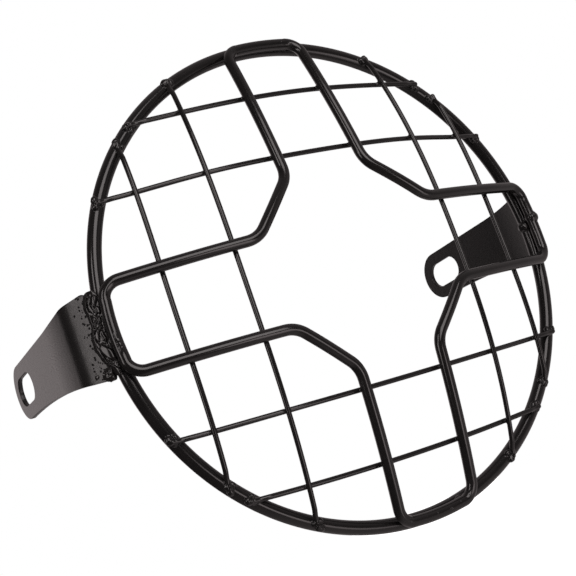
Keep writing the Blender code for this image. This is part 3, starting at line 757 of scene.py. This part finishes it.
def loop_spatter(name, angle, around, sizes, seed):
    """Drop of weld that froze on the loop's end bar, at an angle on the ring and one round the bar."""
    axes = ring_axes(angle)
    front = math.cos(around) * axes[2] + math.sin(around) * axes[1]
    seat = axes[1] * RING_RADIUS + np.array((0.0, -(RING_BAR + LOOP_BAR) / 2 - GAP, -LOOP_DROP))
    middle = seat + front * LOOP_BAR / 2
    loop_near = nearest_part(loop_line, middle, 8.0 * MM)
    frame_of_bar = np.array((axes[0], np.cross(axes[0], front), front))

    def field(points):
        blob = blob_distance(points, middle, frame_of_bar, np.array(sizes) * MM)
        blob = blob - 0.15 * MM * lumps(points, 0.8 * MM, seed)
        return melt(bar_distance(points, loop_near, LOOP_BAR / 2) + 0.05 * MM, blob, 0.25 * MM)

    puddle(name, middle - front * 0.2 * MM, field, max(sizes) * 1.5 * MM, 30)


loop_spatter("bottom_spatter_left", math.radians(-91.0), math.radians(-12.0), (0.5, 0.45, 0.45), 811)
loop_spatter("bottom_spatter_right", math.radians(-87.2), math.radians(0.0), (0.6, 0.5, 0.5), 812)
loop_spatter("left_end_spatter", math.radians(182.4), math.radians(14.0), (3.6, 0.9, 0.32), 813)


for name, path in wire_lines.items():
    crossing_welds("loop", loop_line, LOOP_BAR, name, path, WIRE)
    if name.startswith("upright"):
        for other_name, other in wire_lines.items():
            if other_name.startswith("level"):
                crossing_welds(name, path, WIRE, other_name, other, WIRE)


# Large drops of the bracket welds: millimetres down the joint, share across it, half length
# and half width in millimetres, lean across per millimetre down, and height over the crevices
BEAD_DROPS = ((3.3, 0.46, 1.5, 0.95, 0.0, 0.95), (6.2, 0.47, 2.8, 0.50, 0.1, 0.85),
              (4.0, 0.75, 2.4, 0.95, -0.1, 1.00), (7.6, 0.86, 1.7, 0.75, 0.0, 0.90),
              (8.6, 0.62, 0.7, 0.50, 0.0, 0.70), (10.2, 0.50, 0.8, 0.45, 0.2, 0.70),
              (11.2, 0.78, 1.3, 0.50, -0.2, 0.80), (11.6, 0.97, 1.4, 0.45, 0.0, 0.70),
              (13.0, 0.58, 0.8, 0.60, 0.3, 0.70), (16.2, 0.45, 2.3, 0.75, 0.0, 0.75),
              (17.2, 0.74, 2.4, 0.85, 0.2, 0.95), (20.0, 0.38, 2.2, 0.45, 0.3, 0.90),
              (21.6, 0.24, 0.8, 0.60, 0.0, 0.50), (23.2, 0.66, 3.9, 2.00, 0.2, 1.05),
              (19.5, 0.98, 1.1, 0.60, 0.0, 0.50))
BEAD_TOP = 17.2            # both in millimetres
BEAD_LENGTH = 32.4
SMALL_DROPS = 22


def drop_height(down, across, place, half_length, half_width, lean, high, tilt):
    """Height in millimetres of one drop: an ellipse with a nearly flat, tilted top and steep sides."""
    away = down - place[0]
    sideways = across - place[1] - lean * away
    far = (away / half_length) ** 2 + (sideways / half_width) ** 2
    return np.sqrt(np.maximum(0.0, 1.0 - far ** 3)) * np.maximum(0.0, high + tilt * sideways)


def bracket_bead(side_name, side, seed):
    """Heavy hand-laid bead between a bracket's flange and the ring.

    One parameter runs down the joint, the other round the bead's section.  The section rises
    from the flange in a smooth shoulder, runs on level to the ring below the loop, and is
    closed by a flatter arc inside the metal.  Behind the shoulder the skin sinks to rough
    crevices, and drops stand on them whose tops are parallel to the flange.
    """
    height = np.linspace(BEAD_TOP, BEAD_TOP - BEAD_LENGTH, 280)[:, None] * MM
    x_plan, y_plan, _ = plate_plan()
    lean = math.radians(FLANGE_ANGLE)
    along = np.array((math.sin(lean), math.cos(lean)))
    outwards = np.array((math.cos(lean), -math.sin(lean)))
    corner = np.array((x_plan[0], y_plan[0])) + outwards * PLATE / 2
    share = (height - height[0]) / (height[-1] - height[0])
    width = np.interp(share * BEAD_LENGTH, (0.0, 5.5, 12.2, 16.8, 20.8, 25.7, 30.6, 32.4),
                      np.array((1.0, 1.9, 1.3, 3.0, 3.2, 1.2, -1.4, -1.8)) * MM)
    waver = 0.18 * MM * np.sin(height / (1.1 * MM)) * np.sin(height / (2.9 * MM) + 1.0)
    first = corner + along * (width + waver)[..., 0][:, None] - outwards * 0.15 * MM
    ring_x = np.sqrt(RING_RADIUS ** 2 - height[:, 0] ** 2)
    last = np.column_stack((ring_x + 1.2 * MM, np.full(len(ring_x), -2.75 * MM)))
    chord = last - first
    normal = unit(np.column_stack((-chord[:, 1], chord[:, 0])))
    normal *= np.sign(np.sum(normal * outwards, axis=1))[:, None]
    arc = np.linspace(0.0, 1.0, 130)
    shoulder = np.interp(share * BEAD_LENGTH, (24.5, 28.0), (0.34, 0.95))
    shoulder = 1.0 - np.maximum(0.0, 1.0 - arc / shoulder) ** 2
    bulge = 1.4 * MM * shoulder * (1.0 - arc ** 8)
    outer = first[:, None] + chord[:, None] * arc[:, None] + normal[:, None] * bulge[..., None]
    back = np.linspace(1.0, 0.0, 14)[1:-1]
    inner = (first[:, None] + chord[:, None] * back[:, None]
             - normal[:, None] * (1.1 * MM * 4.0 * back * (1.0 - back))[:, None])
    section = np.concatenate((outer, inner), axis=1)
    points = np.stack((section[..., 0], section[..., 1], np.broadcast_to(height, section.shape[:2])), axis=-1)
    taper = np.clip(np.minimum(share / 0.09, (1.0 - share) / 0.05), 0.0, 1.0) ** 0.5
    middle = points[:, :130].mean(axis=1, keepdims=True)
    points = middle + (points - middle) * (0.35 + 0.65 * taper)[..., None]

    down = share * BEAD_LENGTH
    reach = np.linalg.norm(chord, axis=1)[:, None] / MM
    across = np.concatenate((arc, np.full(12, -9.0)))[None, :] * reach
    tilt = (np.sum(chord * outwards, axis=1) / np.sum(chord * along, axis=1))[:, None]
    drops = np.zeros(section.shape[:2])
    for number in range(SMALL_DROPS):
        draw = [float(random_height(np.array((number, part, 5)), seed)) for part in range(7)]
        place = (7.5 + 9.0 * (number + 0.5 + 0.5 * draw[0]) / SMALL_DROPS, 6.4 * (0.66 + 0.34 * draw[1]))
        small = drop_height(down, across, place, 0.9 + 0.35 * draw[2], 0.50 + 0.15 * draw[3],
                            0.4 * draw[4], 0.45 + 0.20 * draw[5], tilt + 0.2 * draw[6])
        drops = np.maximum(drops, small)
    for spot, over, half_length, half_width, slant, high in BEAD_DROPS:
        place = (spot, over * np.interp(spot, down[:, 0], reach[:, 0]))
        large = drop_height(down, across, place, half_length, half_width, slant, high, tilt)
        drops = np.maximum(drops, large)
    begin = np.interp(share, (0.0, 0.82, 0.92, 1.0), (0.27, 0.27, 0.7, 1.0))
    rise = np.clip((across / reach - begin) / 0.09, 0.0, 1.0)
    fall = np.clip((1.0 - across / reach) / 0.06, 0.0, 1.0)
    window = rise * rise * (3.0 - 2.0 * rise) * fall * taper
    crumple = 0.10 * lumps(points, 0.6 * MM, seed + 1) + 0.14 * lumps(points, 1.2 * MM, seed + 2)
    lift = window * (drops - 0.95 + crumple * np.clip(1.0 - 2.0 * drops, 0.05, 1.0))
    lift = (lift + 0.04 * lumps(points, 2.0 * MM, seed) * (across >= 0.0) * taper) * MM
    skin = points.copy()
    skin[..., 0] += lift * normal[:, None, 0]
    skin[..., 1] += lift * normal[:, None, 1]
    skin[..., 0] *= side
    ends = np.stack((skin[0].mean(axis=0), skin[-1].mean(axis=0)))
    piece = grid_piece(side_name + "_bracket_bead", skin, weld_coat, ends=ends)
    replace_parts(piece, "weld_" + side_name + "_bracket")


bracket_bead("left", -1, 41)
bracket_bead("right", 1, 87)


def flange_axes(side):
    """Front edge of a flange at the middle of its thickness, and the flange's own directions.

    The directions are along the flange from the edge, outwards and upwards.
    """
    x_plan, y_plan, _ = plate_plan()
    lean = math.radians(FLANGE_ANGLE)
    along = (side * math.sin(lean), math.cos(lean), 0.0)
    outwards = (side * math.cos(lean), -math.sin(lean), 0.0)
    return np.array((side * x_plan[0], y_plan[0], 0.0)), np.array((along, outwards, (0.0, 0.0, 1.0)))


def corner_spatter(side_name, side, seed):
    """Rough crust of weld metal over the lower front corner of a bracket's flange.

    Its field is the distance from a flat ellipsoid round the flange's front edge, cut off
    square to the flange before it reaches the ring, with small lumps added.
    """
    edge, axes = flange_axes(side)
    corner = edge + axes.T @ np.array((0.0, 0.2 * MM, FLANGE_BOTTOM))
    middle = corner + 2.6 * MM * axes[2]
    sizes = np.array((4.0, 1.6, 2.7)) * MM

    def field(points):
        crust = 0.15 * lumps(points, 0.6 * MM, seed) + 0.12 * lumps(points, 1.3 * MM, seed + 1)
        blob = blob_distance(points, middle, axes, sizes) - crust * MM
        return np.maximum(blob, -1.3 * MM - (points - corner) @ axes[0])

    puddle(side_name + "_corner_spatter", middle + 0.8 * MM * axes[0], field, 4.6 * MM, 60)


corner_spatter("left", -1, 701)
corner_spatter("right", 1, 709)


def flange_drop(side_name, side, back, height):
    """Drop of spatter on a flange's outer face, with the streak above it that it ran down from.

    Two flattened ellipsoids melted together, half sunk in the sheet; `back` is the drop's
    distance from the flange's front edge.
    """
    edge, axes = flange_axes(side)
    middle = edge + axes.T @ np.array((back, PLATE / 2 - 0.08 * MM, height))
    drop_sizes = np.array((1.05, 0.38, 0.9)) * MM
    streak_sizes = np.array((0.3, 0.3, 1.2)) * MM

    def field(points):
        drop = blob_distance(points, middle, axes, drop_sizes)
        streak = blob_distance(points, middle + 1.2 * MM * axes[2], axes, streak_sizes)
        return melt(drop, streak, 0.15 * MM)

    puddle(side_name + "_flange_drop", middle, field, 2.8 * MM, 40)


flange_drop("left", -1, 5.4 * MM, -12.5 * MM)


def joint_weld(name, angle, inwards, forwards, bar_field, along_size, node, seed):
    """Bead round a butt joint, thicker on one side."""
    axes = ring_axes(angle)
    middle = axes[1] * (RING_RADIUS - inwards) + axes[2] * forwards
    heart = axes[1] * RING_RADIUS + axes[2] * forwards * 0.9
    sizes = np.array((along_size, 2.9 * MM, 2.9 * MM))

    def field(points):
        blob = blob_distance(points, middle, axes, sizes)
        worn = np.exp(-np.maximum(blob, 0.0) / (0.5 * MM))
        bumps = worn * rough(points, 0.2 * MM, 0.08 * MM, seed)
        return melt(bar_field(points), blob, 0.5 * MM) + 0.03 * MM - bumps

    puddle(name, heart, field, 5.0 * MM, 44, [node])


loop_near_joint = nearest_part(loop_line, np.array((RING_RADIUS, -5.25 * MM, 1.4 * MM)), 12.0 * MM)[::2]
joint_weld("ring_butt_weld", math.asin(-0.012), 1.3 * MM, 0.7 * MM,
           ring_distance, 2.6 * MM, "weld_ring_joint", 501)
joint_weld("loop_butt_weld", math.asin(0.014), -0.5 * MM, 5.3 * MM,
           lambda points: bar_distance(points, loop_near_joint, LOOP_BAR / 2),
           3.0 * MM, "weld_loop_joint", 601)


# Studio

FLOOR_HEIGHT = -0.42
FLOOR_SIZE = 14.0
DOME_RADIUS = 3.0
DOME_FLOOR = 0.41          # the dome is flattened this far below the guard, just above the floor


def aim(obj, spot, target):
    """Stand a lamp at a spot so that it shines at the target."""
    back = unit(np.array(spot) - np.array(target))
    right = unit(np.cross((0.0, 0.0, 1.0), back))
    up = np.cross(back, right)
    obj.matrix_world = Matrix((
        (right[0], up[0], back[0], spot[0]),
        (right[1], up[1], back[1], spot[1]),
        (right[2], up[2], back[2], spot[2]),
        (0.0, 0.0, 0.0, 1.0)))


def heading(azimuth, elevation):
    """Unit direction at an azimuth from +X and an elevation, both in degrees."""
    a, e = math.radians(azimuth), math.radians(elevation)
    return np.array((math.cos(a) * math.cos(e), math.sin(a) * math.cos(e), math.sin(e)))


def softbox(name, azimuth, elevation, across, up, brightness):
    """Rectangular soft lamp seen from the guard in a given direction.

    Its two sizes are the angles that it covers, and its brightness is 1 where it looks white.
    """
    distance = 1.7
    width, height = (2.0 * distance * math.tan(math.radians(angle / 2.0)) for angle in (across, up))
    data = bpy.data.lights.new(name, "AREA")
    data.shape = "RECTANGLE"
    data.size = width
    data.size_y = height
    data.energy = brightness * math.pi * width * height
    data.color = (1.0, 0.93, 0.92)
    lamp = bpy.data.objects.new(name, data)
    bpy.context.scene.collection.objects.link(lamp)
    aim(lamp, (distance * heading(azimuth, elevation)).tolist(), (0.0, 0.0, 0.0))
    lamp.visible_camera = False


softbox("left_softbox", -152.0, 24.0, 14.0, 20.0, 4.0)
softbox("low_left_softbox", -167.0, 6.0, 19.0, 22.0, 3.2)
softbox("front_softbox", -94.0, 24.0, 36.0, 38.0, 3.3)


def glowing_reflection_dome():
    """Glowing dome that only the gloss sees: painted reflections of a studio round the guard.

    It glows dim grey, more on the right-hand side and below, brightly in two patches that
    stand for reflector cards, and in a patch behind the guard that stands for a lit sheet.
    Each of these is a smooth step of the cosine of the angle from a direction, and the brightest of them
    counts.
    """
    glowing_patch_behind = heading(99.0, 10.0)
    right = unit(np.cross((0.0, 0.0, 1.0), glowing_patch_behind))
    up = np.cross(glowing_patch_behind, right)
    polar = np.radians(np.linspace(0.5, 179.5, 90))[:, None]
    turn = np.linspace(0.0, 2.0 * math.pi, 96, endpoint=False)[None, :]
    grid = DOME_RADIUS * (np.cos(polar)[..., None] * glowing_patch_behind
                          + (np.sin(polar) * np.cos(turn))[..., None] * right
                          + (np.sin(polar) * np.sin(turn))[..., None] * up)
    grid = grid * np.minimum(1.0, DOME_FLOOR / np.maximum(-grid[..., 2:], 1e-6))
    rows, columns = grid.shape[:2]
    numbers = np.arange(rows * columns).reshape(rows, columns)
    after = np.roll(numbers, -1, axis=1)
    faces = np.stack((numbers[:-1], after[:-1], after[1:], numbers[1:]), axis=-1).reshape(-1, 4).tolist()
    mesh = bpy.data.meshes.new("glowing_reflection_dome")
    mesh.from_pydata(grid.reshape(-1, 3), [], faces)
    paint = bpy.data.materials.new("glowing_dome_seen_only_in_gloss")
    paint.use_nodes = True
    paint.node_tree.nodes.clear()
    spot = add(paint, "TexCoord").outputs["Object"]
    place = add(paint, "VectorMath", {"operation": "NORMALIZE"}, {0: spot})
    strength = None
    # painted reflections: the dome and its patches glow and are seen only in gloss, standing for studio
    # walls, cards and a sheet
    for aim_at, edge, core, dim, bright in (
            (heading(30.0, 25.0), -0.3, 0.8, 0.05, 0.36),      # glow for a pale side wall, on the right
            (heading(0.0, -60.0), 0.2, 0.8, 0.0, 0.45),        # glow for the floor, below
            (heading(-84.0, -20.0), 0.970, 0.988, 0.0, 2.6),   # first bright glowing patch, standing for a reflector card
            (heading(-74.0, -34.0), 0.970, 0.988, 0.0, 1.8),   # second bright glowing patch, standing for a reflector card
            (glowing_patch_behind, 0.866, 0.985, 0.0, 0.80)):             # glowing patch behind the guard, standing for a lit sheet
        toward = add(paint, "VectorMath", {"operation": "DOT_PRODUCT", 1: aim_at.tolist()},
                     {0: place.outputs[0]})
        level = add(paint, "MapRange", {"interpolation_type": "SMOOTHSTEP", "From Min": edge,
                                        "From Max": core, "To Min": dim, "To Max": bright},
                    {"Value": toward.outputs["Value"]})
        previous = {} if strength is None else {1: strength.outputs[0]}
        strength = add(paint, "Math", {"operation": "MAXIMUM", 1: 0.0},
                       {0: level.outputs["Result"], **previous})
    glow = add(paint, "Emission", {"Color": (1.0, 0.89, 0.89, 1.0)}, {"Strength": strength.outputs[0]})
    add(paint, "OutputMaterial", {}, {"Surface": glow.outputs["Emission"]})
    mesh.materials.append(paint)
    walls = bpy.data.objects.new("glowing_reflection_dome", mesh)
    bpy.context.scene.collection.objects.link(walls)
    walls.visible_camera = False
    walls.visible_diffuse = False
    walls.visible_shadow = False
    walls.visible_transmission = False


glowing_reflection_dome()


def seen_share(owner):
    """Socket that is 1 where a surface is seen directly, in gloss or through glass, and else 0."""
    path = add(owner, "LightPath")
    seen = add(owner, "Math", {"operation": "MAXIMUM"},
               {0: path.outputs["Is Camera Ray"], 1: path.outputs["Is Glossy Ray"]})
    seen = add(owner, "Math", {"operation": "MAXIMUM"},
               {0: seen.outputs[0], 1: path.outputs["Is Transmission Ray"]})
    return seen.outputs[0]


def floor_plane(height, size):
    """Pale floor: white to the eye and to gloss, but darker where the guard's shadow falls."""
    mesh = bpy.data.meshes.new("floor")
    half = size / 2.0
    corners = [(-half, -half, height), (half, -half, height), (half, half, height), (-half, half, height)]
    mesh.from_pydata(corners, [], [(0, 1, 2, 3)])
    paint = bpy.data.materials.new("matt_white_studio_floor")
    paint.use_nodes = True
    paint.node_tree.nodes.clear()
    matt = add(paint, "BsdfDiffuse", {"Color": linear("#e6e4e2")})
    glow = add(paint, "Emission", {"Color": (1.0, 1.0, 1.0, 1.0)}, {"Strength": seen_share(paint)})
    both = add(paint, "AddShader", {}, {0: matt.outputs["BSDF"], 1: glow.outputs["Emission"]})
    add(paint, "OutputMaterial", {}, {"Surface": both.outputs["Shader"]})
    mesh.materials.append(paint)
    floor = bpy.data.objects.new("floor", mesh)
    bpy.context.scene.collection.objects.link(floor)


floor_plane(FLOOR_HEIGHT, FLOOR_SIZE)


def white_world(strength):
    """World that lights the guard plainly and is white where it is seen directly or in gloss."""
    world = bpy.data.worlds.new("studio_surround")
    bpy.context.scene.world = world
    world.use_nodes = True
    world.node_tree.nodes.clear()
    level = add(world, "MapRange", {"To Min": strength, "To Max": 1.0}, {"Value": seen_share(world)})
    light = add(world, "Background", {"Color": (1.0, 1.0, 1.0, 1.0)}, {"Strength": level.outputs["Result"]})
    add(world, "OutputWorld", {}, {"Surface": light.outputs["Background"]})


white_world(0.4)


# Camera, as worked out from the photograph's perspective

def stand_camera():
    """Camera in front of the guard's left side, slightly below it, looking a little upwards."""
    data = bpy.data.cameras.new("camera")
    data.sensor_width = 36.0
    data.lens = 73.72
    data.clip_start = 0.02
    data.clip_end = 30.0
    camera = bpy.data.objects.new("camera", data)
    bpy.context.scene.collection.objects.link(camera)
    right = np.array((0.83948, -0.41783, -0.34741))
    down = np.array((-0.22446, 0.31562, -0.92196))
    forward = np.array((0.49487, 0.85194, 0.17117))
    camera.matrix_world = Matrix((
        (right[0], -down[0], -forward[0], -0.250800),
        (right[1], -down[1], -forward[1], -0.390198),
        (right[2], -down[2], -forward[2], -0.078418),
        (0.0, 0.0, 0.0, 1.0)))
    bpy.context.scene.camera = camera


stand_camera()
bpy.context.scene.view_settings.view_transform = "Standard"
